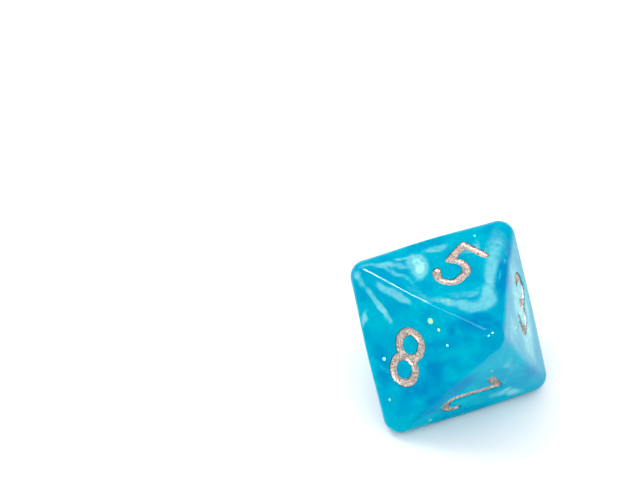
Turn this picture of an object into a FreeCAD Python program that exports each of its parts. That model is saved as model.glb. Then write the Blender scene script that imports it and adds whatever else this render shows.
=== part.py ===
"""An eight-sided die: a cast resin octahedron with recessed, painted numerals 1 to 8.

The die lies on its 4 with the 5 on top.  The origin is at the centre of the face it lies on,
+Z points up through the middle of the 5, and +Y is the upright direction of that 5.
Opposite faces add up to nine.
"""
import FreeCAD, Part
import math
import os

Vector = FreeCAD.Vector

# ---------------------------------------------------------------- driving dimensions (mm, degrees)
ACROSS_FLATS = 15.0        # between two opposite faces
CORNER_RADIUS = 1.65       # ball at each corner, tangent to the four faces that meet there
EDGE_SETBACK = 0.225       # from the sharp edge to the rounded one, in the middle of an edge

NUMERAL_HEIGHT = 6.36      # over the paint
NUMERAL_WIDTH = 3.32       # over the paint
STROKE_WIDTH = 0.86
NUMERAL_RAISE = 1.05       # middle of a numeral above the middle of its face, towards its top corner
SIX_RAISE = 1.5            # the 6 sits higher, because a bar is below it
UNDERLINE_DROP = 4.6       # from the middle of the 6 down to the middle of its bar
POCKET_DEPTH = 0.45        # of the recess that a numeral is moulded as
PAINT_THICKNESS = 0.25     # of the paint on the recess's floor

FLAKE_THICKNESS = 0.06     # of a six-sided glitter flake
FLAKE_SUNK = 0.01          # top of a flake below the face that it shows in

# ---------------------------------------------------------------- sizes that follow from them
HEIGHT = ACROSS_FLATS
CENTRE = Vector(0, 0, HEIGHT / 2)
FACE_DISTANCE = ACROSS_FLATS / 2
SHARP_CORNER = FACE_DISTANCE * math.sqrt(3)          # centre to corner, before any rounding
SHARP_EDGE = SHARP_CORNER * math.sqrt(2)             # from one corner to the next
BALL_CENTRE = SHARP_CORNER - math.sqrt(3) * CORNER_RADIUS
HALF_TURN = math.acos(math.sqrt(2 / 3))              # from an edge's outward line to a face normal
HALF_STROKE = STROKE_WIDTH / 2
PAINT_HEIGHTS = (-POCKET_DEPTH, PAINT_THICKNESS - POCKET_DEPTH)          # from a face's plane
FLAKE_HEIGHTS = (-FLAKE_SUNK - FLAKE_THICKNESS, -FLAKE_SUNK)

# Upper face's three corners, seen from above: back, front left and front right.  The other three
# corners are their opposites.
CORNER_RING = SHARP_CORNER * math.sqrt(2 / 3)
BACK, LEFT, RIGHT = [Vector(CORNER_RING * math.cos(math.radians(angle)),
                            CORNER_RING * math.sin(math.radians(angle)),
                            FACE_DISTANCE)
                     for angle in (90, 210, 330)]
AXES = [BACK, LEFT, RIGHT]

# Which end of each corner axis a numeral's face touches.  Odd numerals stand with their tops
# towards the BACK corner, and even ones with theirs towards its opposite.
FACES = {
    1: (1, -1, -1), 2: (-1, -1, 1), 3: (1, -1, 1), 4: (-1, -1, -1),
    5: (1, 1, 1), 6: (-1, 1, -1), 7: (1, 1, -1), 8: (-1, 1, 1),
}


# ---------------------------------------------------------------- frames on the faces
def face_corners(signs):
    return [axis * sign for axis, sign in zip(AXES, signs)]


def face_normal(signs):
    normal = Vector(0, 0, 0)
    for corner in face_corners(signs):
        normal = normal + corner
    return normal.normalize()


def face_placement(number):
    """Placement of a face's own frame: origin in its middle, Y to the top of its numeral, Z out."""
    signs = FACES[number]
    normal = face_normal(signs)
    middle = normal * FACE_DISTANCE
    up = (AXES[0] * signs[0] - middle).normalize()
    right = up.cross(normal)
    rotation = FreeCAD.Rotation(right, up, normal, "ZXY")
    return FreeCAD.Placement(CENTRE + middle, rotation)


# ---------------------------------------------------------------- the rounded octahedron
def edge_round(start, end):
    """The two halves of one edge's rounding, as exact surfaces.

    Every section is a conic that leaves both faces smoothly, as far from the sharp edge as a
    corner's ball does, so the flats stay true triangles.  At the ball it is a circle, and it
    swells towards the sharp edge, to EDGE_SETBACK from it in the middle.
    """
    along = (end - start).normalize()
    middle = (start + end) * 0.5
    outward = Vector(middle).normalize()
    aside = along.cross(outward)
    inset = CORNER_RADIUS / math.cos(HALF_TURN)      # from the sharp edge to a ball's centre
    reach = SHARP_EDGE / 2 - inset                   # from the edge's middle to a ball's centre
    to_tangent = [(outward * math.cos(HALF_TURN) + aside * (side * math.sin(HALF_TURN)))
                  * CORNER_RADIUS - outward * inset for side in (-1, 1)]
    ball_weight = math.cos(HALF_TURN)                # of a conic that is a circle
    chord_depth = CORNER_RADIUS * math.sin(HALF_TURN) * math.tan(HALF_TURN)
    edge_weight = chord_depth / EDGE_SETBACK - 1
    halves = []
    for direction in (-1, 1):
        rows, weights = [], []
        for step, weight in enumerate([edge_weight, edge_weight, ball_weight, ball_weight]):
            on_edge = CENTRE + middle + along * (direction * reach * step / 3)
            rows.append([on_edge + to_tangent[0], on_edge, on_edge + to_tangent[1]])
            weights.append([1, weight, 1])
        surface = Part.BSplineSurface()
        surface.buildFromPolesMultsKnots(
            rows, [4, 4], [3, 3], [0, 1], [0, 1], False, False, 3, 2, weights)
        halves.append(surface.toShape())
    return halves


def corner_round(corner):
    """The part of a corner's ball that lies between its four face normals."""
    out = Vector(corner).normalize()
    sides = [Vector(axis).normalize() for axis in AXES if abs(axis.dot(corner)) < 1e-6]
    centre = CENTRE + out * BALL_CENTRE
    rays = [centre + (out + sides[0] * a + sides[1] * b) * (2 * CORNER_RADIUS)
            for a, b in ((1, 1), (-1, 1), (-1, -1), (1, -1))]
    walls = [Part.Face(Part.makePolygon([centre, rays[i], rays[(i + 1) % 4], centre]))
             for i in range(4)]
    lid = Part.Face(Part.makePolygon(rays + [rays[0]]))
    wedge = Part.Solid(Part.Shell(walls + [lid]))
    piece = Part.makeSphere(CORNER_RADIUS, centre).common(wedge)
    return [face for face in piece.Faces if isinstance(face.Surface, Part.Sphere)]


def flat_face(signs, rounds):
    """The flat inside the roundings of a face's three edges."""
    normal = face_normal(signs)
    rim = []
    for face in rounds:
        for edge in face.Edges:
            ends = [vertex.Point - CENTRE for vertex in edge.Vertexes]
            middle = edge.valueAt((edge.FirstParameter + edge.LastParameter) / 2) - CENTRE
            on_plane = [abs(point.dot(normal) - FACE_DISTANCE) < 1e-6 for point in ends + [middle]]
            if all(on_plane):
                rim.append(edge)
    return Part.Face(Part.Wire(Part.__sortEdges__(rim)))


def rounded_octahedron():
    corners = AXES + [axis * -1 for axis in AXES]
    rounds = []
    for i, start in enumerate(corners):
        for end in corners[i + 1:]:
            if abs(start.dot(end)) < 1e-6:
                rounds += edge_round(start, end)
    balls = [face for corner in corners for face in corner_round(corner)]
    flats = [flat_face(signs, rounds) for signs in FACES.values()]
    shell = Part.Shell(flats + rounds + balls)
    shell.sewShape()
    solid = Part.Solid(shell)
    if solid.Volume < 0:
        solid.reverse()
    return solid


# ---------------------------------------------------------------- numerals, drawn as round-ended strokes
# A numeral is a list of strokes, and a stroke is a list of tangent runs.  A run is a line between
# two points or an arc given by its centre, radius, first and last angle.
BEND = (NUMERAL_WIDTH - STROKE_WIDTH) / 2            # radius of every bowl's middle line
TOP = (NUMERAL_HEIGHT - STROKE_WIDTH) / 2
UPPER = TOP - BEND                                   # height of the top bowls' centre
HOOK_END = 162                                       # where an open bowl's end lies


def line(x0, y0, x1, y1):
    return ("line", (x0, y0), (x1, y1))


def arc(x, y, radius, first, last):
    return ("arc", (x, y), radius, first, last)


def polar(centre, radius, angle):
    return (centre[0] + radius * math.cos(math.radians(angle)),
            centre[1] + radius * math.sin(math.radians(angle)))


def touch_angle(centre, radius, point, side):
    """Where on a circle the tangent from a point touches it; side is 1 or -1."""
    away_x, away_y = point[0] - centre[0], point[1] - centre[1]
    towards = math.degrees(math.atan2(away_y, away_x))
    return towards + side * math.degrees(math.acos(radius / math.hypot(away_x, away_y)))


def one():
    stem, flag_x, flag_y = 0.35, -0.95, 1.55
    return [[line(stem, -TOP, stem, TOP)], [line(stem, TOP, flag_x, flag_y)]]


def two():
    heel = (-BEND, -TOP)
    leave = touch_angle((0, UPPER), BEND, heel, 1)   # where the slope leaves the hook
    slope_top = polar((0, UPPER), BEND, leave)
    return [[arc(0, UPPER, BEND, HOOK_END, leave), line(*slope_top, *heel)],
            [line(*heel, BEND, -TOP)]]


def three():
    bar_end = -0.15
    upper = [arc(0, UPPER, BEND, HOOK_END, 0), line(BEND, UPPER, BEND, BEND),
             arc(0, BEND, BEND, 0, -90), line(0, 0, bar_end, 0)]
    lower = [line(bar_end, 0, 0, 0), arc(0, -BEND, BEND, 90, 0),
             line(BEND, -BEND, BEND, -UPPER), arc(0, -UPPER, BEND, 0, -HOOK_END)]
    return [upper, lower]


def four():
    stem, bar_y, left, right = 0.5, -1.25, -1.4, 1.35
    return [[line(stem, TOP, stem, -TOP)],
            [line(stem, TOP, left, bar_y)],
            [line(left, bar_y, right, bar_y)]]


def five():
    foot = (-1.12, 0.1)
    bowl_y = -0.75                                   # centre of the bowl's upper bend
    join = touch_angle((0, bowl_y), BEND, foot, -1)  # where the short slope meets the bowl
    bowl_start = polar((0, bowl_y), BEND, join)
    return [[line(-BEND, TOP, BEND, TOP)],
            [line(-BEND, TOP, *foot)],
            [line(*foot, *bowl_start), arc(0, bowl_y, BEND, join, 0),
             line(BEND, bowl_y, BEND, -UPPER), arc(0, -UPPER, BEND, 0, -HOOK_END)]]


def six():
    bowl_y = -1.03                                   # centre of the bowl's upper bend
    hook = [arc(0, UPPER, BEND, 180 - HOOK_END, 180), line(-BEND, UPPER, -BEND, -UPPER)]
    bowl = [arc(0, bowl_y, BEND, 180, 0), line(BEND, bowl_y, BEND, -UPPER),
            arc(0, -UPPER, BEND, 0, -180), line(-BEND, -UPPER, -BEND, bowl_y)]
    return [hook, bowl]


def seven():
    foot = -0.45
    return [[line(-BEND, TOP, BEND, TOP)], [line(BEND, TOP, foot, -TOP)]]


def eight():
    def loop(low, high):
        return [arc(0, high, BEND, 180, 0), line(BEND, high, BEND, low),
                arc(0, low, BEND, 0, -180), line(-BEND, low, -BEND, high)]
    return [loop(BEND, UPPER), loop(-UPPER, -BEND)]


def underline():
    return [[line(-BEND, -UNDERLINE_DROP, BEND, -UNDERLINE_DROP)]]


STROKES = {1: one, 2: two, 3: three, 4: four, 5: five, 6: six, 7: seven, 8: eight}


def run_side(run, offset):
    """One side of a run: the curve at a distance to its left, and that curve's two ends."""
    if run[0] == "line":
        (x0, y0), (x1, y1) = run[1], run[2]
        length = math.hypot(x1 - x0, y1 - y0)
        shift = Vector(-(y1 - y0), x1 - x0, 0) * (offset / length)
        start, end = Vector(x0, y0, 0) + shift, Vector(x1, y1, 0) + shift
        return Part.makeLine(start, end), start, end
    centre, radius, first, last = run[1:]
    side = radius - offset if last > first else radius + offset
    points = [Vector(*polar(centre, side, angle), 0) for angle in (first, (first + last) / 2, last)]
    return Part.Arc(*points).toShape(), points[0], points[2]


def round_end(left, right, backwards):
    """Half circle that closes a stroke, from its left side to its right side."""
    middle = (left + right) * 0.5
    across = left - right
    ahead = Vector(across.y, -across.x, 0) * (0.5 * backwards)
    return Part.Arc(left, middle + ahead, right).toShape()


def stroke_face(runs):
    """The area that a stroke of constant width covers."""
    lefts = [run_side(run, HALF_STROKE) for run in runs]
    rights = [run_side(run, -HALF_STROKE) for run in runs]
    closed = (lefts[0][1] - lefts[-1][2]).Length < 1e-6
    if closed:
        rims = [Part.Face(Part.Wire([side[0] for side in sides])) for sides in (lefts, rights)]
        rims.sort(key=lambda face: face.Area)
        return rims[1].cut(rims[0]).Faces[0]
    start = round_end(lefts[0][1], rights[0][1], -1)
    end = round_end(lefts[-1][2], rights[-1][2], 1)
    edges = [side[0] for side in lefts + rights] + [start, end]
    return Part.Face(Part.Wire(Part.__sortEdges__(edges)))


def upright_prism(strokes, low, high, raised):
    """All strokes of a numeral as one solid, between two heights over its face's plane."""
    faces = [stroke_face(runs) for runs in strokes]
    area = faces[0].fuse(faces[1:]).removeSplitter() if len(faces) > 1 else faces[0]
    area.translate(Vector(0, raised, low))
    prism = area.extrude(Vector(0, 0, high - low))
    return prism.Solids[0]


def numeral_prism(number, low, high):
    raised = SIX_RAISE if number == 6 else NUMERAL_RAISE
    return place(upright_prism(STROKES[number](), low, high, raised), number)


def underline_prism(low, high):
    return place(upright_prism(underline(), low, high, SIX_RAISE), 6)


def place(shape, number):
    placed = shape.copy()
    placed.Placement = face_placement(number)
    return placed


# ---------------------------------------------------------------- glitter flakes
# Where the flakes show: numeral of the face, place on it, how far the flake is turned, and its
# width.  All lie inside a flat, clear of its rounded edges and of the numerals.
GREEN_FLAKES = [
    (8, -1.5, -3.75, 12, 0.6), (5, 2.05, -3.7, 31, 0.3), (8, -2.6, -3.3, 40, 0.32),
    (8, 0.7, 6.2, 5, 0.3), (3, -2.9, -2.3, 25, 0.4), (2, 3.1, -2.4, 50, 0.36),
    (2, -0.8, 5.8, 18, 0.34), (1, 2.7, 0.2, 33, 0.44), (7, -3.0, -2.9, 8, 0.5),
    (7, 0.9, 5.6, 21, 0.3), (6, 4.1, -3.2, 44, 0.42),
]
CYAN_FLAKES = [
    (5, -1.1, 5.5, 30, 0.3), (5, -3.6, -1.15, 3, 0.34), (8, 2.35, 2.35, 15, 0.4),
    (8, -3.9, -2.2, 48, 0.28), (3, 2.7, 0.6, 37, 0.38), (3, 0.3, 6.4, 52, 0.3),
    (2, -3.3, -1.9, 9, 0.42), (1, -2.4, -3.3, 27, 0.36), (1, 0.2, 6.3, 41, 0.3),
    (6, -2.8, 0.9, 16, 0.4), (6, 0.5, 6.3, 35, 0.28), (7, 3.4, -1.7, 55, 0.36),
]


def flake_prism(spot, low, high):
    number, x, y, turned, width = spot
    reach = width / math.sqrt(3)                     # centre to corner
    ring = [Vector(x, y, low) + Vector(*polar((0, 0), reach, turned + 60 * side), 0)
            for side in range(6)]
    outline = Part.Face(Part.makePolygon(ring + [ring[0]]))
    return place(outline.extrude(Vector(0, 0, high - low)), number)


def flakes(spots):
    return [flake_prism(spot, *FLAKE_HEIGHTS) for spot in spots]


# ---------------------------------------------------------------- the pieces of the die
def die_body():
    """The resin casting, with a recess for each numeral and a seat for each flake."""
    above = 1.0                                      # a cutter starts this far outside the face
    cutters = [numeral_prism(number, -POCKET_DEPTH, above) for number in FACES]
    cutters.append(underline_prism(-POCKET_DEPTH, above))
    cutters += [flake_prism(spot, FLAKE_HEIGHTS[0], above) for spot in GREEN_FLAKES + CYAN_FLAKES]
    return rounded_octahedron().cut(cutters)


def pieces():
    made = {"die_body": die_body()}
    for number in FACES:
        made["numeral_%d_paint" % number] = numeral_prism(number, *PAINT_HEIGHTS)
    made["six_underline_paint"] = underline_prism(*PAINT_HEIGHTS)
    made["green_glitter_flakes"] = Part.makeCompound(flakes(GREEN_FLAKES))
    made["cyan_glitter_flakes"] = Part.makeCompound(flakes(CYAN_FLAKES))
    return made


def main():
    os.makedirs("parts", exist_ok=True)
    for name, shape in pieces().items():
        box = shape.BoundBox
        print("%-22s valid %s  solids %d  %9.3f mm3  box %.3f %.3f %.3f to %.3f %.3f %.3f" % (
            name, shape.isValid(), len(shape.Solids), shape.Volume,
            box.XMin, box.YMin, box.ZMin, box.XMax, box.YMax, box.ZMax))
        shape.exportStep("parts/%s.step" % name)


main()
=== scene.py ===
"""The eight-sided die in Blender: swirled cyan resin, copper-painted numerals and glitter flakes.

The resin and the paint are finer meshes of the shapes that the CAD nodes have: the same flats and
rounded edges, with a softened rim on every recess and paint that creeps up the recess's walls.
Lengths are in millimetres until a mesh is made.
"""
import math

import bmesh
import bpy
import numpy as np
from mathutils import Euler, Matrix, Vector
from mathutils.geometry import delaunay_2d_cdt


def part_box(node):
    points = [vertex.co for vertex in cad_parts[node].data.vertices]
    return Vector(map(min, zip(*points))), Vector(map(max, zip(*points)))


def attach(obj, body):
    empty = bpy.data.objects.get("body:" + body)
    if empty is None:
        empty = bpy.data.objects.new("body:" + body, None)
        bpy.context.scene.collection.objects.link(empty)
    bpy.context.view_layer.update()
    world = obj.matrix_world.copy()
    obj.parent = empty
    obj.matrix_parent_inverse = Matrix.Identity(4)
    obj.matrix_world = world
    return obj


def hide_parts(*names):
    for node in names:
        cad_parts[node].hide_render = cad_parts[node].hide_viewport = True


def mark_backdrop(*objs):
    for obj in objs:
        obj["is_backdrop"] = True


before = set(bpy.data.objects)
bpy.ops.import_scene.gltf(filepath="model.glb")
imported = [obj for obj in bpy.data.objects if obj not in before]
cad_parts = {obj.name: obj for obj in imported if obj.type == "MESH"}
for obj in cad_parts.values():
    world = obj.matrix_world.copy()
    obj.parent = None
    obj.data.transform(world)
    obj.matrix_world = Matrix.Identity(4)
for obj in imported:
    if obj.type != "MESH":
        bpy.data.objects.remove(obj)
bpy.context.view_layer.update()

MM = 0.001

# ---------------------------------------------------------------- sizes (mm), as in the CAD model
ACROSS_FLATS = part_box("die_body")[1].z / MM
CORNER_RADIUS = 1.65       # ball at each corner, tangent to the four faces that meet there
EDGE_SETBACK = 0.225       # from the sharp edge to the rounded one, in the middle of an edge
NUMERAL_HEIGHT = 6.36      # over the paint
NUMERAL_WIDTH = 3.32
STROKE_WIDTH = 0.86
POCKET_DEPTH = 0.45        # of a numeral's recess
FLAKE_SEAT = 0.07          # depth of a glitter flake's seat
FLAKE_SUNK = 0.01          # top of a flake below its face

# ---------------------------------------------------------------- sizes (mm) that only the looks have
RIM_RADIUS = 0.07          # softened rim of a recess
CROTCH_RADIUS = 0.15       # where two strokes of a numeral meet
OUTLINE_STEP = 0.06        # between points of an outline
GRID_STEP = 0.2            # between points inside a flat
CREEP_DEPTH = 0.085        # of the paint's edge on the recess's wall
CREEP_WANDER = 0.02        # how far that edge wanders up and down
LOBE = 1.3                 # length of one up and down of that edge
EDGE_BLEND = 0.05          # how far in the wander still shows
PAINT_RINGS = ((0.03, 0.16), (0.08, 0.235), (0.14, 0.28), (0.21, 0.31), (0.30, 0.33))  # inset, depth
SHADED_WALL_DEPTH = 0.2     # shallower than this, painted shade darkens the paint on the recess's wall
RIM_STEPS = 4              # across a softened rim
PAINT_CREASE = 60          # angle (degrees) above which the paint has a sharp edge
SAME_LEVEL = 0.002         # heights closer than this are one level
FEWEST_POINTS = 8          # of an outline

ACROSS = 12                # strips across a rounded edge
ALONG = 26                 # strips along half of it

# ---------------------------------------------------------------- the octahedron, as in the CAD model
FACE_DISTANCE = ACROSS_FLATS / 2
CENTRE = np.array([0.0, 0.0, FACE_DISTANCE])
SHARP_CORNER = FACE_DISTANCE * math.sqrt(3)
SHARP_EDGE = SHARP_CORNER * math.sqrt(2)
BALL_CENTRE = SHARP_CORNER - math.sqrt(3) * CORNER_RADIUS
HALF_TURN = math.acos(math.sqrt(2 / 3))
CORNER_RING = SHARP_CORNER * math.sqrt(2 / 3)
AXES = [np.array([CORNER_RING * math.cos(math.radians(angle)),
                  CORNER_RING * math.sin(math.radians(angle)),
                  FACE_DISTANCE])
        for angle in (90, 210, 330)]                 # towards the back, front left and front right
FACES = {
    1: (1, -1, -1), 2: (-1, -1, 1), 3: (1, -1, 1), 4: (-1, -1, -1),
    5: (1, 1, 1), 6: (-1, 1, -1), 7: (1, 1, -1), 8: (-1, 1, 1),
}


def unit(vector):
    return vector / np.linalg.norm(vector)


class Plane:
    """A face's own frame: origin in its middle, y to the top of its numeral, z out of the die."""

    def __init__(self, number):
        signs = FACES[number]
        self.normal = unit(sum(axis * sign for axis, sign in zip(AXES, signs)))
        self.origin = CENTRE + self.normal * FACE_DISTANCE
        self.up = unit(AXES[0] * signs[0] - self.normal * FACE_DISTANCE)
        self.right = np.cross(self.up, self.normal)

    def out(self, flat, height=0.0):
        """Points of the die's frame from points on the face."""
        flat = np.asarray(flat, float).reshape(-1, 2)
        height = np.broadcast_to(height, len(flat)).reshape(-1, 1)
        return self.origin + flat[:, :1] * self.right + flat[:, 1:] * self.up + height * self.normal

    def into(self, points):
        """Points on the face, and their heights over it, from points of the die's frame."""
        away = np.asarray(points) - self.origin
        return np.stack([away @ self.right, away @ self.up], 1), away @ self.normal

    def turn(self, flat, rise):
        """Directions of the die's frame from ones along the face and out of it."""
        rise = np.broadcast_to(rise, len(flat)).reshape(-1, 1)
        return flat[:, :1] * self.right + flat[:, 1:] * self.up + rise * self.normal


PLANES = {number: Plane(number) for number in FACES}


# ---------------------------------------------------------------- numerals, as in the CAD model
# A numeral is a list of strokes, and a stroke is a list of tangent runs.  A run is a line between
# two points or an arc given by its centre, radius, first and last angle.
BEND = (NUMERAL_WIDTH - STROKE_WIDTH) / 2
TOP = (NUMERAL_HEIGHT - STROKE_WIDTH) / 2
UPPER = TOP - BEND
HOOK_END = 162


def line(x0, y0, x1, y1):
    return ("line", (x0, y0), (x1, y1))


def arc(x, y, radius, first, last):
    return ("arc", (x, y), radius, first, last)


def polar(centre, radius, angle):
    return (centre[0] + radius * math.cos(math.radians(angle)),
            centre[1] + radius * math.sin(math.radians(angle)))


def touch_angle(centre, radius, point, side):
    """Where on a circle the tangent from a point touches it; side is 1 or -1."""
    away_x, away_y = point[0] - centre[0], point[1] - centre[1]
    towards = math.degrees(math.atan2(away_y, away_x))
    return towards + side * math.degrees(math.acos(radius / math.hypot(away_x, away_y)))


def one():
    stem, flag_x, flag_y = 0.35, -0.95, 1.55
    return [[line(stem, -TOP, stem, TOP)], [line(stem, TOP, flag_x, flag_y)]]


def two():
    heel = (-BEND, -TOP)
    leave = touch_angle((0, UPPER), BEND, heel, 1)
    slope_top = polar((0, UPPER), BEND, leave)
    return [[arc(0, UPPER, BEND, HOOK_END, leave), line(*slope_top, *heel)],
            [line(*heel, BEND, -TOP)]]


def three():
    bar_end = -0.15
    upper = [arc(0, UPPER, BEND, HOOK_END, 0), line(BEND, UPPER, BEND, BEND),
             arc(0, BEND, BEND, 0, -90), line(0, 0, bar_end, 0)]
    lower = [line(bar_end, 0, 0, 0), arc(0, -BEND, BEND, 90, 0),
             line(BEND, -BEND, BEND, -UPPER), arc(0, -UPPER, BEND, 0, -HOOK_END)]
    return [upper, lower]


def four():
    stem, bar_y, left, right = 0.5, -1.25, -1.4, 1.35
    return [[line(stem, TOP, stem, -TOP)],
            [line(stem, TOP, left, bar_y)],
            [line(left, bar_y, right, bar_y)]]


def five():
    foot = (-1.12, 0.1)
    bowl_y = -0.75
    join = touch_angle((0, bowl_y), BEND, foot, -1)
    bowl_start = polar((0, bowl_y), BEND, join)
    return [[line(-BEND, TOP, BEND, TOP)],
            [line(-BEND, TOP, *foot)],
            [line(*foot, *bowl_start), arc(0, bowl_y, BEND, join, 0),
             line(BEND, bowl_y, BEND, -UPPER), arc(0, -UPPER, BEND, 0, -HOOK_END)]]


def six():
    bowl_y = -1.03
    hook = [arc(0, UPPER, BEND, 180 - HOOK_END, 180), line(-BEND, UPPER, -BEND, -UPPER)]
    bowl = [arc(0, bowl_y, BEND, 180, 0), line(BEND, bowl_y, BEND, -UPPER),
            arc(0, -UPPER, BEND, 0, -180), line(-BEND, -UPPER, -BEND, bowl_y)]
    return [hook, bowl]


def seven():
    foot = -0.45
    return [[line(-BEND, TOP, BEND, TOP)], [line(BEND, TOP, foot, -TOP)]]


def eight():
    def loop(low, high):
        return [arc(0, high, BEND, 180, 0), line(BEND, high, BEND, low),
                arc(0, low, BEND, 0, -180), line(-BEND, low, -BEND, high)]
    return [loop(BEND, UPPER), loop(-UPPER, -BEND)]


def underline():
    return [[line(-BEND, 0, BEND, 0)]]


NUMERALS = {1: one, 2: two, 3: three, 4: four, 5: five, 6: six, 7: seven, 8: eight}


def from_line(points, start, end):
    """Distance of points from a line between two points."""
    start, span = np.array(start), np.subtract(end, start)
    share = np.clip((points - start) @ span / (span @ span), 0, 1)
    return np.linalg.norm(points - start - share[:, None] * span, axis=1)


def from_arc(points, centre, radius, first, last):
    """Distance of points from an arc."""
    low, high = min(first, last), max(first, last)
    away = points - np.array(centre)
    turn = (np.degrees(np.arctan2(away[:, 1], away[:, 0])) - low) % 360
    on_circle = np.abs(np.linalg.norm(away, axis=1) - radius)
    ends = [np.linalg.norm(points - np.array(polar(centre, radius, angle)), axis=1)
            for angle in (first, last)]
    return np.where(turn <= high - low, on_circle, np.minimum(*ends))


def from_strokes(points, strokes):
    """Distance of points from the edge of a numeral, and negative on the numeral."""
    runs = [run for stroke in strokes for run in stroke]
    gaps = [(from_line if run[0] == "line" else from_arc)(points, *run[1:]) for run in runs]
    return np.min(gaps, axis=0) - STROKE_WIDTH / 2


# ---------------------------------------------------------------- outlines, read from the CAD nodes
def node_points(name):
    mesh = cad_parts[name].data
    points = np.zeros(len(mesh.vertices) * 3, np.float32)
    mesh.vertices.foreach_get("co", points)
    return points.reshape(-1, 3).astype(float) / MM


def border_sides(polygons):
    """Sides that only one of some polygons has, as a table from each side's start to its end."""
    sides = {}
    for corners in polygons:
        for side in zip(corners, corners[1:] + corners[:1]):
            if side[::-1] in sides:
                del sides[side[::-1]]
            else:
                sides[side] = True
    return dict(sides.keys())


def top_outlines(name, plane, top=None):
    """Closed outlines of the top of flat CAD solids, as rings of points on their face."""
    flat, height = plane.into(node_points(name))
    top = height.max() if top is None else top
    keys = [tuple(np.round(point, 3)) for point in flat]
    following = border_sides([
        [keys[corner] for corner in polygon.vertices]
        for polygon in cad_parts[name].data.polygons
        if all(abs(height[corner] - top) < SAME_LEVEL for corner in polygon.vertices)])
    rings = []
    while following:
        start, point = following.popitem()
        ring = [start]
        while point != start:
            ring.append(point)
            point = following.pop(point)
        rings.append(np.array(ring))
    return rings


def spaced(ring, step):
    """The same ring with evenly spaced points."""
    closed = np.vstack([ring, ring[:1]])
    lengths = np.concatenate([[0], np.cumsum(np.linalg.norm(np.diff(closed, axis=0), axis=1))])
    count = max(FEWEST_POINTS, round(lengths[-1] / step))
    places = np.linspace(0, lengths[-1], count, endpoint=False)
    return np.stack([np.interp(places, lengths, closed[:, axis]) for axis in (0, 1)], 1)


def inside(points, rings):
    """Which points lie inside an area, by counting the sides of its outlines to their right."""
    found = np.zeros(len(points), bool)
    for ring in rings:
        ends = np.roll(ring, -1, axis=0)
        for (x0, y0), (x1, y1) in zip(ring, ends):
            if y0 != y1:
                spans = (points[:, 1] >= min(y0, y1)) & (points[:, 1] < max(y0, y1))
                crossing = x0 + (points[:, 1] - y0) * (x1 - x0) / (y1 - y0)
                found ^= spans & (points[:, 0] < crossing)
    return found


def distance(points, rings):
    """Distance of points from an area's outline, and negative inside the area."""
    nearest = np.full(len(points), np.inf)
    for ring in rings:
        sides = np.roll(ring, -1, axis=0) - ring
        away = points[:, None, :] - ring[None, :, :]
        share = np.clip((away * sides).sum(2) / np.maximum((sides ** 2).sum(1), 1e-12), 0, 1)
        gap = np.linalg.norm(away - share[..., None] * sides, axis=2).min(1)
        nearest = np.minimum(nearest, gap)
    return np.where(inside(points, rings), -nearest, nearest)


def slope(gap, points):
    """How a distance grows along x and along y."""
    small = 0.004
    steps = [np.array([small, 0.0]), np.array([0.0, small])]
    return np.stack([gap(points + step) - gap(points - step) for step in steps], 1) / (2 * small)


def settled(points, gap, level):
    """The points, moved to where a distance has the level, without any that can't get there."""
    tries, least_steepness, close = 8, 0.04, 0.001
    for _ in range(tries):
        rise = slope(gap, points)
        steepness = np.maximum((rise ** 2).sum(1), least_steepness)
        points = points + rise * ((level - gap(points)) / steepness)[:, None]
    return points[np.abs(gap(points) - level) < close]


class Outline:
    """One closed outline of a recess: its points, and the direction out of the recess at each."""

    def __init__(self, ring, gap):
        near = settled(spaced(ring, OUTLINE_STEP), gap, 0.0)
        self.points = settled(spaced(near, OUTLINE_STEP), gap, 0.0)
        rise = slope(gap, self.points)
        self.away = rise / np.linalg.norm(rise, axis=1, keepdims=True)

    def moved(self, offset):
        return self.points + self.away * offset


def recess(number, name, strokes):
    """Outlines of a recess, with a fillet in every crotch between two strokes: there they lie as
    far inside a wider outline as the wider one stands off."""
    rings = top_outlines(name, PLANES[number])
    every = np.vstack(rings)
    raised = np.array([0.0, (every[:, 1].min() + every[:, 1].max()) / 2])
    slack = 0.002                                    # keeps the strokes' own edge outside a crotch

    def sharp(points):
        return from_strokes(points - raised, strokes)

    def filleted(points):
        return np.minimum(sharp(points), distance(points, wider) + CROTCH_RADIUS + slack)

    wider = [settled(spaced(ring, OUTLINE_STEP), sharp, CROTCH_RADIUS) for ring in rings]
    return [Outline(ring, filleted) for ring in rings]


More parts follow.
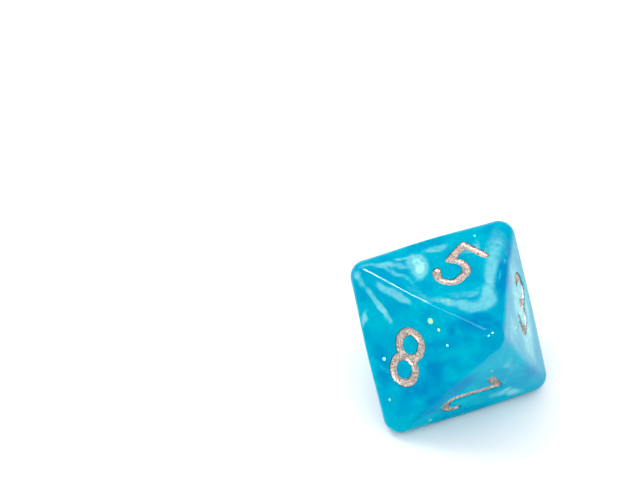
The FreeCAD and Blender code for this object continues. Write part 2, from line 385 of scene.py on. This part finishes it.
# ---------------------------------------------------------------- meshes
class Shape:
    """Points with normals, and faces between them, gathered for one mesh."""

    def __init__(self):
        self.points, self.normals, self.faces = [], [], []

    def add(self, points, normals):
        first = len(self.points)
        self.points += [tuple(point) for point in points]
        self.normals += [tuple(unit(np.asarray(normal))) for normal in normals]
        return list(range(first, len(self.points)))

    def band(self, ring, other):
        """Faces between two closed rings of as many points."""
        for i in range(len(ring)):
            j = (i + 1) % len(ring)
            self.faces.append((ring[i], ring[j], other[j], other[i]))

    def fill(self, plane, height, loops, holes=(), grid=0.0):
        """Triangles on a face's plane inside loops, and outside holes. Loops and holes hold the
        numbers of points that the shape has already."""
        rings = [list(loop) for loop in list(loops) + list(holes)]
        numbers = [number for ring in rings for number in ring]
        flat = plane.into(np.array([self.points[number] for number in numbers]))[0]
        outlines = np.split(flat, np.cumsum([len(ring) for ring in rings])[:-1])
        if grid:
            extra = lattice(outlines, grid)
            numbers += self.add(plane.out(extra, height), [plane.normal] * len(extra))
            flat = np.vstack([flat, extra])
        for triangle in triangles_inside(flat, ring_edges(rings), outlines):
            self.faces.append(tuple(numbers[i] for i in triangle))

    def build(self, name, sharp=None):
        """The mesh object. With a sharp angle Blender works out the normals, and without one they
        are those of the shape."""
        mesh = bpy.data.meshes.new(name)
        mesh.from_pydata([Vector(point) * MM for point in self.points], [], self.faces)
        mesh.validate()
        turn_outwards(mesh)
        mesh.polygons.foreach_set("use_smooth", [True] * len(mesh.polygons))
        if sharp is None:
            mesh.normals_split_custom_set_from_vertices([Vector(n) for n in self.normals])
        else:
            mesh.set_sharp_from_angle(angle=math.radians(sharp))
        made = bpy.data.objects.new(name, mesh)
        bpy.context.scene.collection.objects.link(made)
        return made


def turn_outwards(mesh):
    work = bmesh.new()
    work.from_mesh(mesh)
    bmesh.ops.recalc_face_normals(work, faces=work.faces)
    work.to_mesh(mesh)
    work.free()


def ring_edges(rings):
    """Pairs of neighbours round closed rings, whose points are counted from ring to ring."""
    edges, first = [], 0
    for ring in rings:
        size = len(ring)
        edges += [(first + i, first + (i + 1) % size) for i in range(size)]
        first += size
    return edges


def triangles_inside(flat, edges, outlines):
    """Triangles between points on a face that keep the edges and lie inside an area."""
    merge = 1e-7
    result = delaunay_2d_cdt([Vector(point) for point in flat], edges, [], 1, merge)
    places, triangles, origins = result[0], result[2], result[3]
    centres = np.array([sum((places[i] for i in triangle), Vector((0, 0))) / 3
                        for triangle in triangles])
    kept = inside(centres, outlines)
    return [[origins[i][0] for i in triangle] for triangle, keep in zip(triangles, kept) if keep]


def lattice(outlines, step):
    """Points of a triangular grid inside an area, clear of its outlines."""
    clear = 0.4 * step
    every = np.vstack(outlines)
    low, high = every.min(0), every.max(0)
    rows = np.arange(low[1], high[1], step * math.sqrt(3) / 2)
    points = np.array([(x + (i % 2) * step / 2, y) for i, y in enumerate(rows)
                       for x in np.arange(low[0], high[0], step)])
    return points[distance(points, outlines) < -clear]


# ---------------------------------------------------------------- the rounded octahedron
def arc_share(angle):
    """Parameter of a circular section, drawn as a conic, at an angle from its start."""
    before, after = math.sin(angle / 2), math.sin(HALF_TURN - angle / 2)
    return before / (before + after)


SECTION = [arc_share(2 * HALF_TURN * i / ACROSS) for i in range(ACROSS + 1)]
LENGTHWISE = [math.sin(math.pi / 2 * i / ALONG) for i in range(ALONG + 1)]   # closer at the ball


def edge_point(start, end, direction, u, v):
    """A point on a rounded edge: u runs from the edge's middle to a ball, v across it."""
    along = unit(end - start)
    middle = (start + end) / 2
    outward = unit(middle)
    aside = np.cross(along, outward)
    inset = CORNER_RADIUS / math.cos(HALF_TURN)
    reach = SHARP_EDGE / 2 - inset
    tangent = [(outward * math.cos(HALF_TURN) + aside * (side * math.sin(HALF_TURN)))
               * CORNER_RADIUS - outward * inset for side in (-1, 1)]
    chord_depth = CORNER_RADIUS * math.sin(HALF_TURN) * math.tan(HALF_TURN)
    edge_weight = chord_depth / EDGE_SETBACK - 1
    weights = (edge_weight, edge_weight, math.cos(HALF_TURN), math.cos(HALF_TURN))
    shares = [(1 - u) ** 3, 3 * u * (1 - u) ** 2, 3 * u * u * (1 - u), u ** 3]
    centre_line = middle + along * (direction * reach * u)
    weight = sum(share * w for share, w in zip(shares, weights))
    pull = sum(share * w * (middle + along * (direction * reach * step / 3))
               for step, (share, w) in enumerate(zip(shares, weights)))
    a, b, c = (1 - v) ** 2, 2 * v * (1 - v), v * v
    total = a * (centre_line + tangent[0]) + b * pull + c * (centre_line + tangent[1])
    return CENTRE + total / (a + b * weight + c)


def edge_normal(start, end, direction, u, v):
    small = 1e-4
    v0, v1 = max(v - small, 0), min(v + small, 1)
    u0, u1 = max(u - small, 0), min(u + small, 1)
    across = edge_point(start, end, direction, u, v1) - edge_point(start, end, direction, u, v0)
    length = edge_point(start, end, direction, u1, v) - edge_point(start, end, direction, u0, v)
    normal = unit(np.cross(length, across))
    return normal if normal @ (start + end) > 0 else -normal


class Octahedron(Shape):
    """The rounded octahedron, with points shared where its patches meet."""

    def __init__(self):
        super().__init__()
        self.found = {}
        self.corners = AXES + [-axis for axis in AXES]
        self.sides = {number: [] for number in FACES}
        for i, start in enumerate(self.corners):
            for end in self.corners[i + 1:]:
                if abs(start @ end) < 1e-6:
                    self.rounded_edge(start, end)
        for corner in self.corners:
            self.rounded_corner(corner)

    def at(self, point, normal):
        """Number of a point, shared with any patch that has it already."""
        key = tuple(np.round(point, 4) + 0.0)
        if key not in self.found:
            self.found[key] = self.add([point], [normal])[0]
        return self.found[key]

    def rounded_edge(self, start, end):
        rows = []
        for direction, steps in ((-1, LENGTHWISE[::-1]), (1, LENGTHWISE[1:])):
            for u in steps:
                rows.append([self.at(edge_point(start, end, direction, u, v),
                                     edge_normal(start, end, direction, u, v)) for v in SECTION])
        self.patch(rows)
        for column in (0, -1):
            border = [row[column] for row in rows]
            self.sides[self.face_of(border)].append(border)

    def face_of(self, border):
        middle = np.mean([self.points[number] for number in border], axis=0)
        return max(FACES, key=lambda number: (middle - CENTRE) @ PLANES[number].normal)

    def rounded_corner(self, corner):
        out = unit(corner)
        across = [unit(axis) for axis in AXES if abs(axis @ corner) < 1e-6]
        slopes = [math.sqrt(2) * math.tan(2 * HALF_TURN * i / ACROSS - HALF_TURN)
                  for i in range(ACROSS + 1)]
        rows = []
        for a in slopes:
            normals = [unit(out + across[0] * a + across[1] * b) for b in slopes]
            rows.append([self.at(CENTRE + out * BALL_CENTRE + normal * CORNER_RADIUS, normal)
                         for normal in normals])
        self.patch(rows)

    def patch(self, rows):
        for row, after in zip(rows, rows[1:]):
            for i in range(len(row) - 1):
                self.faces.append((row[i], row[i + 1], after[i + 1], after[i]))

    def flat_rim(self, number):
        """The closed ring of points round a flat, joined from its three borders."""
        borders = [list(border) for border in self.sides[number]]
        ring = borders.pop()
        while borders:
            border = next(b for b in borders if ring[-1] in (b[0], b[-1]))
            borders.remove(border)
            ring += border[1:] if border[0] == ring[-1] else border[-2::-1]
        return ring[:-1]


# ---------------------------------------------------------------- the pieces
PAINTED = [("numeral_%d_paint" % number, number, draw()) for number, draw in NUMERALS.items()]
PAINTED.append(("six_underline_paint", 6, underline()))
RECESSES = {name: (number, recess(number, name, strokes)) for name, number, strokes in PAINTED}


def flake_seats(shape, plane):
    """Seats of the glitter flakes that lie in a face. Returns their rings of points on the face."""
    openings = []
    for name in ("green_glitter_flakes", "cyan_glitter_flakes"):
        for ring in top_outlines(name, plane, -FLAKE_SUNK):
            normals = [plane.normal] * len(ring)
            opening = shape.add(plane.out(ring), normals)
            floor = shape.add(plane.out(ring, -FLAKE_SEAT), normals)
            shape.band(opening, floor)
            shape.faces.append(tuple(floor))
            openings.append(opening)
    return openings


def cut_recess(shape, plane, outlines):
    """Rim, walls and floor of one recess. Returns its rings of points on the face."""
    openings, floors = [], []
    for outline in outlines:
        rings = []
        for step in range(RIM_STEPS + 1):
            angle = math.radians(90) * step / RIM_STEPS
            offset = RIM_RADIUS * (1 - math.sin(angle))
            depth = RIM_RADIUS * (1 - math.cos(angle))
            normals = plane.turn(-outline.away * math.sin(angle), math.cos(angle))
            rings.append(shape.add(plane.out(outline.moved(offset), -depth), normals))
        rings.append(shape.add(plane.out(outline.points, -POCKET_DEPTH),
                               plane.turn(-outline.away, 0.0)))
        for ring, below in zip(rings, rings[1:]):
            shape.band(ring, below)
        openings.append(rings[0])
        floors.append(rings[-1])
    shape.fill(plane, -POCKET_DEPTH, floors)
    return openings


def die_body():
    shape = Octahedron()
    for number, plane in PLANES.items():
        openings = flake_seats(shape, plane)
        for face, outlines in RECESSES.values():
            if face == number:
                openings += cut_recess(shape, plane, outlines)
        shape.fill(plane, 0.0, [shape.flat_rim(number)], openings, GRID_STEP)
    made = shape.build("swirled_resin")
    places = swirled(np.array(shape.points))
    for name, strokes in (("veil", VEILS), ("smudge", SMUDGES)):
        add_layer(made, name, drawn(places, strokes))
    return made


def trough(shape, plane, outline, phase):
    """Rings of the paint inside one outline: from the floor up to its edge, and in along its top."""
    count = len(outline.points)
    turns = np.arange(count) * 2 * math.pi / count
    lobes = max(3, round(count * OUTLINE_STEP / LOBE))
    wander = CREEP_WANDER * (np.sin(turns * lobes + phase) + np.sin(turns * (2 * lobes + 1))) / 2
    edge = -(CREEP_DEPTH + wander)
    rings = [shape.add(plane.out(outline.points, -POCKET_DEPTH), plane.turn(outline.away, 0.0)),
             shape.add(plane.out(outline.points, edge), plane.turn(outline.away, 0.0))]
    for inset, depth in PAINT_RINGS:
        share = math.exp(-inset / EDGE_BLEND)
        rings.append(shape.add(plane.out(outline.moved(-inset), -depth - wander * share),
                               [plane.normal] * count))
    return rings


def paint(name):
    """The paint in a recess: a trough whose edge creeps up the walls."""
    number, outlines = RECESSES[name]
    plane, shape = PLANES[number], Shape()
    tops, floors = [], []
    for outline in outlines:
        rings = trough(shape, plane, outline, number)
        for ring, after in zip(rings, rings[1:]):
            shape.band(ring, after)
        floors.append(rings[0])
        tops.append(rings[-1])
    shape.fill(plane, -PAINT_RINGS[-1][1], tops)
    shape.fill(plane, -POCKET_DEPTH, floors)
    made = shape.build(name.replace("_paint", ""), sharp=PAINT_CREASE)
    depths = -plane.into(shape.points)[1]
    # Painted shade: a value for each point of the paint, highest near the top of the recess's wall,
    # which darkens the paint in its material.
    add_layer(made, "wall_shade", np.clip((SHADED_WALL_DEPTH - depths) / SHADED_WALL_DEPTH * 2, 0, 1))
    return made


# ---------------------------------------------------------------- material nodes
class Tree:
    """The nodes of one material, which end in one Principled shader."""

    def __init__(self, name):
        self.material = bpy.data.materials.new(name)
        self.material.use_nodes = True
        self.nodes, self.links = self.material.node_tree.nodes, self.material.node_tree.links
        self.nodes.clear()
        self.shader = self.nodes.new("ShaderNodeBsdfPrincipled")
        output = self.nodes.new("ShaderNodeOutputMaterial")
        self.links.new(self.shader.outputs[0], output.inputs[0])

    def finish(self, **inputs):
        for name, value in inputs.items():
            self.feed(self.shader.inputs[name.replace("_", " ")], value)
        return self.material

    def feed(self, socket, value):
        if isinstance(value, bpy.types.NodeSocket):
            self.links.new(value, socket)
        else:
            socket.default_value = value

    def add(self, kind, inputs, output=0, **settings):
        node = self.nodes.new(kind)
        for name, value in settings.items():
            setattr(node, name, value)
        for name, value in inputs.items():
            self.feed(node.inputs[name], value)
        return node.outputs[output]

    def math(self, operation, first, second=0.0, third=0.0):
        return self.add("ShaderNodeMath", {0: first, 1: second, 2: third}, operation=operation)

    def clamp(self, value):
        return self.add("ShaderNodeClamp", {0: value})

    def vector(self, operation, first, second):
        return self.add("ShaderNodeVectorMath", {0: first, 1: second}, operation=operation)

    def scaled(self, vector, factor):
        return self.add("ShaderNodeVectorMath", {0: vector, 3: factor}, operation="SCALE")

    def ramp(self, value, low, high, start=0.0, end=1.0):
        """A smooth step from start to end, as the value goes from low to high."""
        return self.add("ShaderNodeMapRange", {0: value, 1: low, 2: high, 3: start, 4: end},
                        interpolation_type="SMOOTHSTEP")

    def mix(self, first, second, factor):
        return self.add("ShaderNodeMix", {0: factor, 6: first, 7: second}, 2, data_type="RGBA")

    def noise(self, place, scale, detail=3.0, roughness=0.5, distortion=0.0, output=0):
        return self.add("ShaderNodeTexNoise",
                        {"Vector": place, "Scale": scale, "Detail": detail,
                         "Roughness": roughness, "Distortion": distortion}, output)

    def cells(self, place, scale, output):
        return self.add("ShaderNodeTexVoronoi", {"Vector": place, "Scale": scale}, output)

    def bump(self, height, distance):
        return self.add("ShaderNodeBump",
                        {"Height": height, "Distance": distance * MM, "Strength": 1.0})

    def millimetres(self):
        """Place on the die, in millimetres."""
        place = self.add("ShaderNodeTexCoord", {}, "Object")
        return self.scaled(place, 1 / MM)

    def attribute(self, name):
        return self.add("ShaderNodeAttribute", {}, "Fac", attribute_name=name)

    def warped(self, place, scale, amount):
        """The place, pushed about by noise."""
        push = self.vector("SUBTRACT", self.noise(place, scale, 2.0, output=1), (0.5, 0.5, 0.5))
        return self.vector("ADD", place, self.scaled(push, amount))


# ---------------------------------------------------------------- swirls
# They are drawn on the faces: a stroke is the numeral of its face, its strength, and the spots that
# it runs through, each with the stroke's half width there (all mm).
VEILS = (
    (5, 0.64, ((-1.2, 9.4, 0.4), (-0.1, 7.7, 0.8), (0.7, 6.2, 1.2), (1.4, 4.6, 1.1),
               (2.1, 2.9, 1.0), (2.8, 1.4, 0.9), (3.8, 0.1, 1.1), (4.6, -1.2, 1.2),
               (4.6, -2.4, 1.2), (3.6, -3.4, 1.0), (2.0, -4.0, 0.9), (0.2, -4.3, 0.7),
               (-1.8, -4.4, 0.6), (-3.6, -4.6, 0.3))),
    (5, 0.45, ((3.2, 0.2, 0.4), (3.1, -1.5, 0.7), (2.0, -2.8, 0.7), (0.4, -3.3, 0.5))),
    (5, 0.90, ((-4.4, -0.2, 0.7), (-3.9, -1.0, 1.3), (-3.2, -1.8, 1.3), (-2.5, -2.8, 0.8))),
    (5, 0.55, ((-4.2, -0.4, 0.6), (-3.9, 0.8, 0.7), (-3.1, 2.0, 0.6), (-3.0, 3.2, 0.4))),
    (5, 0.50, ((-1.6, 6.2, 0.3), (-0.7, 4.9, 0.6), (-0.9, 3.4, 0.5), (-1.9, 2.6, 0.3))),
    (5, 0.65, ((-9.5, -5.4, 0.3), (-7.2, -4.2, 0.4), (-5.7, -3.1, 0.6), (-4.3, -2.2, 0.6),
               (-3.4, -1.9, 0.5))),
    (5, 0.60, ((-8.4, -5.0, 0.2), (-6.6, -3.4, 0.3), (-5.4, -1.9, 0.3), (-4.6, -0.4, 0.3),
               (-4.3, 0.9, 0.2))),
    (5, 0.45, ((1.9, 6.0, 0.15), (2.5, 4.6, 0.25), (3.2, 3.0, 0.25), (4.0, 1.6, 0.2),
               (5.0, 0.2, 0.15))),
    (5, 0.45, ((0.2, 5.6, 0.2), (0.5, 4.2, 0.3), (-0.2, 3.1, 0.3), (-1.6, 3.6, 0.2))),
    (5, 0.50, ((-9.5, -5.4, 0.3), (-7.2, -4.3, 0.3), (-5.2, -3.7, 0.5), (-3.2, -3.6, 0.5),
               (-1.2, -3.9, 0.4))),
    (8, 0.75, ((9.5, -5.8, 0.4), (7.3, -4.6, 0.5), (5.9, -3.9, 0.7), (4.5, -3.0, 0.6), (3.2, -2.0, 0.5),
               (2.2, -1.4, 0.3))),
    (8, 0.70, ((5.0, 0.5, 0.2), (5.3, -0.6, 0.5), (5.6, -1.8, 0.3))),
    (8, 0.65, ((7.2, -4.9, 0.4), (4.6, -4.9, 0.6), (2.2, -4.8, 0.6), (0.2, -4.9, 0.3))),
    (8, 0.50, ((1.4, 3.4, 0.3), (2.3, 3.8, 0.5), (3.0, 3.7, 0.3))),
    # On face 3 these two veils are partly a real swirl and partly a painted reflection of the white
    # walls, which face 3 catches at a grazing angle.
    (3, 0.80, ((-2.6, 4.2, 1.5), (-0.8, 1.2, 3.2), (1.0, -1.2, 3.0), (3.4, -3.2, 1.0))),
    (3, 0.50, ((-5.2, -3.4, 0.8), (-3.0, -2.2, 1.4), (-0.6, -2.8, 1.2))),
    (2, 0.55, ((-6.6, -3.6, 0.4), (-5.2, -2.4, 0.9), (-3.6, -1.3, 0.8), (-2.4, -0.4, 0.4))),
    (2, 0.50, ((-1.6, -2.3, 0.3), (0.2, -3.6, 0.6), (1.8, -4.4, 0.6), (3.4, -4.9, 0.4))),
    (1, 0.75, ((-5.2, -3.0, 0.6), (-3.2, -2.4, 1.2), (-0.6, -3.1, 1.3), (2.0, -2.2, 1.1),
               (4.8, -3.2, 0.7))),
    (1, 0.65, ((0.2, 6.8, 0.5), (1.8, 4.4, 0.9), (2.8, 1.8, 1.0), (3.6, 0.0, 0.5))),
    (6, 0.80, ((-4.6, -2.4, 0.6), (-3.4, -0.4, 1.3), (-2.0, 1.6, 1.4), (-0.8, 4.4, 0.9),
               (-0.2, 6.4, 0.4))),
    (6, 0.65, ((6.0, -3.8, 0.4), (4.2, -2.4, 0.8), (3.0, -0.6, 0.9), (2.4, 1.4, 0.5))),
    (7, 0.80, ((5.0, -3.4, 0.7), (3.6, -1.4, 1.3), (2.2, 0.8, 1.3), (0.8, 3.2, 1.0),
               (0.2, 6.6, 0.5))),
    (7, 0.65, ((-6.0, -3.8, 0.4), (-4.2, -2.6, 0.9), (-2.8, -1.0, 0.8), (-2.2, 0.8, 0.4))),
    (4, 0.75, ((-5.0, -3.4, 0.7), (-3.2, -1.0, 1.2), (-1.0, 1.4, 1.2), (0.6, 3.6, 0.9),
               (0.2, 6.4, 0.5))),
    (4, 0.65, ((6.0, -3.9, 0.5), (3.8, -2.9, 0.9), (2.4, -1.2, 0.9), (1.6, 0.8, 0.5))),
)
SMUDGES = (
    (5, 1.0, ((1.4, 7.4, 0.5), (2.8, 4.6, 1.1), (4.2, 2.2, 1.2), (5.6, -0.4, 0.8))),
    (5, 1.0, ((6.9, -3.3, 0.9), (5.6, -4.2, 1.3), (3.8, -5.0, 0.9))),
    (8, 1.0, ((-3.6, -4.5, 0.4), (-3.9, -3.9, 0.6), (-4.1, -3.3, 0.3))),
    (8, 0.8, ((-4.6, -0.4, 0.5), (-3.2, 2.0, 1.2), (-1.6, 4.6, 1.2), (-0.2, 7.4, 0.8))),
    (8, 0.6, ((-5.8, -4.0, 0.6), (-3.9, -2.6, 0.9), (-2.2, -1.2, 0.5))),
    (8, 0.5, ((4.8, 0.4, 0.6), (3.2, 2.6, 1.1), (1.2, 6.0, 0.7))),
    (2, 0.9, ((0.4, 7.4, 0.8), (2.4, 4.4, 1.4), (3.6, 1.6, 1.4), (4.6, -1.2, 0.9))),
    (2, 0.6, ((-4.4, -0.2, 0.5), (-2.8, 2.4, 1.1), (-1.0, 5.4, 0.8))),
    (3, 0.6, ((5.8, -4.5, 0.5), (3.0, -5.0, 0.9), (0.2, -5.1, 0.6))),
    (1, 0.9, ((-4.4, -0.4, 0.6), (-2.6, 1.4, 1.5), (-0.6, 3.4, 1.2))),
    (6, 0.9, ((1.0, 6.8, 0.6), (2.2, 4.4, 1.4), (3.6, 1.6, 0.8))),
    (6, 0.7, ((-1.2, -4.4, 0.6), (2.0, -4.8, 1.1), (5.0, -4.6, 0.6))),
    (7, 0.9, ((-2.4, 3.4, 0.7), (-1.2, 5.4, 1.1), (-0.4, 7.2, 0.6))),
    (7, 0.8, ((0.0, -4.2, 0.7), (3.0, -4.6, 1.2), (6.0, -4.6, 0.7))),
    (4, 0.9, ((-1.6, 5.2, 0.7), (-3.0, 2.6, 1.3), (-4.8, -0.4, 0.7))),
)
STROKE_REACH = 2.0         # of a stroke, under its face
SOFT_EDGE = 1.25           # where a stroke has faded out, in half widths
WAVES = ((0.30, 8.7), (0.20, 4.3), (0.10, 2.2), (0.05, 1.1))    # push and length (mm)
WAVE_STARTS = (0.4, 2.1, 4.4)


def smooth(spots, steps=9):
    """Points along a curve through spots, with every coordinate of a spot smoothed."""
    spots = np.array(spots, float)
    ends = np.vstack([2 * spots[0] - spots[1], spots, 2 * spots[-1] - spots[-2]])
    places = []
    for before, start, end, after in zip(ends, ends[1:], ends[2:], ends[3:]):
        for t in np.arange(steps) / steps:
            places.append(start + 0.5 * t * (end - before
                          + t * (2 * before - 5 * start + 4 * end - after
                                 + t * (3 * (start - end) + after - before))))
    return np.array(places + [spots[-1]])


def swirled(points):
    """The points, pushed about by waves, so that strokes drawn there turn into swirls."""
    moved = np.array(points)
    for push, length in WAVES:
        phases = np.roll(moved, 1, axis=1) * (2 * math.pi / length) + np.array(WAVE_STARTS)
        moved = moved + push * np.sin(phases)
    return moved


def drawn(points, strokes):
    """Strength of soft strokes at points on the die: the largest one at each. A stroke fades out
    towards both its ends."""
    total = np.zeros(len(points))
    for number, strength, spots in strokes:
        curve = smooth(spots)
        fade = np.sin(np.linspace(0, math.pi, len(curve) + 2)[1:-1]) ** 0.5
        line = PLANES[number].out(curve[:, :2])
        height = (points - PLANES[number].origin) @ PLANES[number].normal
        near = np.nonzero(height > -STROKE_REACH)[0]
        gaps = np.linalg.norm(points[near, None] - line, axis=2) / curve[:, 2]
        share = np.clip(SOFT_EDGE - gaps, 0, 1)
        value = (strength * fade * share * share * (3 - 2 * share)).max(1)
        total[near] = np.maximum(total[near], value)
    return total


def add_layer(made, name, values):
    """Give every point of a mesh a value that its material reads."""
    layer = made.data.attributes.new(name, "FLOAT", "POINT")
    layer.data.foreach_set("value", values)


# ---------------------------------------------------------------- materials
DEEP_BLUE = (0.0, 0.20, 0.43, 1)
BLUE = (0.0, 0.34, 0.49, 1)
LIGHT_BLUE = (0.0, 0.43, 0.55, 1)
PALE = (0.19, 0.55, 0.62, 1)
PEARL = (0.38, 0.80, 0.82, 1)
COPPER_DARK = (0.28, 0.20, 0.17, 1)
COPPER_LIGHT = (0.66, 0.54, 0.49, 1)
COPPER_WORN = (0.22, 0.15, 0.13, 1)
# painted shade, for the paint high on the recess's walls
COPPER_SHADE = (0.10, 0.075, 0.07, 1)
FLOOR_WHITE = (0.92, 0.92, 0.92, 1)
FLOOR_WARM_WHITE = (0.96, 0.95, 0.95, 1)
WALL_COLOUR = (0.97, 0.99, 1.0, 1)


def resin():
    """Blue resin with darker smudges and pale veils, which are pearly where they are thickest; on face
    3 the veils are partly a painted reflection.
    """
    tree = Tree("swirled_resin")
    place = tree.millimetres()
    drift = tree.warped(tree.warped(place, 0.3, 1.3), 1.1, 0.45)
    strands = tree.noise(tree.warped(place, 0.35, 3.0), 2.2, 4.0, 0.55, 0.7)
    threads = tree.noise(tree.warped(place, 0.3, 1.8), 0.6, 3.0, 0.5, 0.4)
    threads = tree.math("MULTIPLY_ADD", tree.math("SUBTRACT", strands, threads), 0.35, threads)
    clouds = tree.noise(drift, 0.33, 3.0)
    veil = tree.attribute("veil")
    turns = tree.math("MULTIPLY_ADD", veil, 15.0, tree.math("MULTIPLY", threads, 12.0))
    lines = tree.math("SINE", turns)
    strength = tree.math("MULTIPLY_ADD", lines, 0.13, tree.ramp(threads, 0.30, 0.66, 0.65, 1.25))
    veil = tree.math("MULTIPLY", veil, strength)
    wisps = tree.math("ADD", tree.ramp(threads, 0.55, 0.74, 0.0, 0.22), veil)
    dark = tree.math("ADD", tree.attribute("smudge"), tree.ramp(clouds, 0.60, 0.40, 0.0, 0.45))
    dark = tree.clamp(tree.math("MULTIPLY", dark, tree.ramp(threads, 0.30, 0.55, 0.45, 1.0)))
    colour = tree.mix(BLUE, LIGHT_BLUE, tree.ramp(strands, 0.45, 0.7, 0.0, 0.8))
    colour = tree.mix(colour, DEEP_BLUE, dark)
    colour = tree.mix(colour, PALE, tree.ramp(wisps, 0.0, 0.95))
    colour = tree.mix(colour, PEARL, tree.ramp(wisps, 0.6, 1.15, 0.0, 0.9))
    waves = tree.noise(place, 0.5, 1.0)
    return tree.finish(Base_Color=colour, Roughness=0.07, IOR=1.5, Specular_IOR_Level=0.2,
                       Subsurface_Weight=0.3, Subsurface_Radius=(0.15, 0.8, 1.0),
                       Subsurface_Scale=MM, Normal=tree.bump(waves, 0.03))


def copper_paint():
    """Grainy metallic paint, worn in patches, with painted shade where it climbs the recess's walls."""
    tree = Tree("copper_paint")
    place = tree.millimetres()
    grain = tree.cells(place, 9.0, "Color")
    tint = tree.add("ShaderNodeSeparateColor", {0: grain}, 0)
    patches = tree.noise(place, 1.6, 4.0)
    colour = tree.mix(COPPER_DARK, COPPER_LIGHT, tree.ramp(tint, 0.1, 0.9))
    colour = tree.mix(colour, COPPER_WORN, tree.ramp(patches, 0.62, 0.8, 0.0, 0.6))
    # Painted shade: the paint is darkened where it climbs the recess's walls, by an amount that the
    # patches noise varies.
    wall_shade = tree.math("MULTIPLY", tree.attribute("wall_shade"), tree.ramp(patches, 0.3, 0.6, 0.4, 1.0))
    colour = tree.mix(colour, COPPER_SHADE, tree.ramp(wall_shade, 0.1, 0.9, 0.0, 0.85))
    height = tree.math("ADD", tint, tree.noise(place, 14.0, 2.0))
    return tree.finish(Base_Color=colour, Metallic=0.8, Roughness=0.4,
                       Normal=tree.bump(height, 0.02))


GLITTER = {
    "green_glitter_flakes": ((0.20, 0.62, 0.36, 1), (0.55, 0.88, 0.52, 1)),
    "cyan_glitter_flakes": ((0.05, 0.70, 0.80, 1), (0.38, 0.96, 0.97, 1)),
}


def glitter(name, dull, bright):
    tree = Tree(name)
    place = tree.millimetres()
    sheen = tree.noise(place, 3.0, 2.0)
    colour = tree.mix(dull, bright, tree.ramp(sheen, 0.35, 0.65))
    return tree.finish(Base_Color=colour, Metallic=0.3, Roughness=0.2, Coat_Weight=0.6,
                       Normal=tree.bump(sheen, 0.02))


def floor_paper():
    tree = Tree("pale_floor")
    place = tree.millimetres()
    colour = tree.mix(FLOOR_WHITE, FLOOR_WARM_WHITE, tree.noise(place, 0.05, 4.0))
    return tree.finish(Base_Color=colour, Roughness=0.7)


# ---------------------------------------------------------------- the stage, the lights and the camera
FLOOR_GAP = 0.02           # between the resting face and the floor
FLOOR_RADIUS = 900.0
FLOOR_CORNERS = 96
LAMP_DISTANCE = 450.0
LAMPS = (                  # name, azimuth, elevation, size (mm), power (W), whether it lights all
    ("overhead_lamp", -77, 62, 150, 0.38, True),
    ("left_window", -75, 64.5, 44, 0.3, False),
    ("right_window", 89, 65, 100, 1.5, False),
    ("front_window", 28, 54, 100, 1.5, False),
)
WALLS = 1.26               # brightness
BLACK_LEVEL = (0.06, 0.01, 0.0)     # red, green and blue that the picture shows as none


def floor():
    shape = Shape()
    turns = [2 * math.pi * i / FLOOR_CORNERS for i in range(FLOOR_CORNERS)]
    ring = shape.add([(FLOOR_RADIUS * math.cos(turn), FLOOR_RADIUS * math.sin(turn), -FLOOR_GAP)
                      for turn in turns], [(0, 0, 1)] * len(turns))
    shape.faces.append(tuple(ring))
    made = shape.build("floor")
    made.data.materials.append(floor_paper())
    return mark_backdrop(made)


def direction(azimuth, elevation):
    """Away from the die. Azimuth 0 is the front and 90 the right-hand side."""
    a, e = math.radians(azimuth), math.radians(elevation)
    return Vector((math.sin(a) * math.cos(e), -math.cos(a) * math.cos(e), math.sin(e)))


def softbox(name, azimuth, elevation, size, power, lights_all):
    """A square lamp that faces the die. One that doesn't light all only shows as a reflection."""
    lamp = bpy.data.lights.new(name, "AREA")
    lamp.shape, lamp.size, lamp.energy = "SQUARE", size * MM, power
    made = bpy.data.objects.new(name, lamp)
    away = direction(azimuth, elevation)
    made.location = (Vector(CENTRE) + away * LAMP_DISTANCE) * MM
    made.rotation_euler = away.to_track_quat("Z", "Y").to_euler()
    made.visible_diffuse = lights_all
    bpy.context.scene.collection.objects.link(made)


def surroundings():
    """White walls all round."""
    world = bpy.data.worlds.new("studio")
    bpy.context.scene.world = world
    world.use_nodes = True
    background = world.node_tree.nodes["Background"]
    background.inputs[0].default_value = WALL_COLOUR
    background.inputs[1].default_value = WALLS


CAMERA_AZIMUTH, CAMERA_ELEVATION, CAMERA_DISTANCE = 32.4, 43.95, 297.0    # as seen from the die
LOOK_AZIMUTH, LOOK_ELEVATION, LOOK_ROLL = 35.85, 42.38, 0.51              # of the lens
LENS, SENSOR = 168.75, 36.0
NEAREST, FARTHEST = 0.01, 10.0                                            # that it shows (m)


def camera():
    lens = bpy.data.cameras.new("camera")
    lens.lens, lens.sensor_width = LENS, SENSOR
    lens.clip_start, lens.clip_end = NEAREST, FARTHEST
    made = bpy.data.objects.new("camera", lens)
    away = direction(CAMERA_AZIMUTH, CAMERA_ELEVATION) * CAMERA_DISTANCE
    made.location = (Vector(CENTRE) + away) * MM
    look = direction(LOOK_AZIMUTH, LOOK_ELEVATION).to_track_quat("Z", "Y").to_matrix()
    roll = Euler((0, 0, math.radians(LOOK_ROLL))).to_matrix()
    made.rotation_euler = (look @ roll).to_euler()
    bpy.context.scene.collection.objects.link(made)
    bpy.context.scene.camera = made


def picture():
    """How light turns into the colours of the picture."""
    shown = bpy.context.scene.view_settings
    shown.view_transform = "Standard"
    shown.use_curve_mapping = True
    shown.curve_mapping.black_level = BLACK_LEVEL


# ---------------------------------------------------------------- putting it together
def part(made, node, material):
    made.data.materials.append(material)
    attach(made, "root")
    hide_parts(node)


part(die_body(), "die_body", resin())
COPPER = copper_paint()
for name in RECESSES:
    part(paint(name), name, COPPER)
for name, (dull, bright) in GLITTER.items():
    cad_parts[name].data.materials[0] = glitter(name, dull, bright)

floor()
surroundings()
for lamp in LAMPS:
    softbox(*lamp)
camera()
picture()
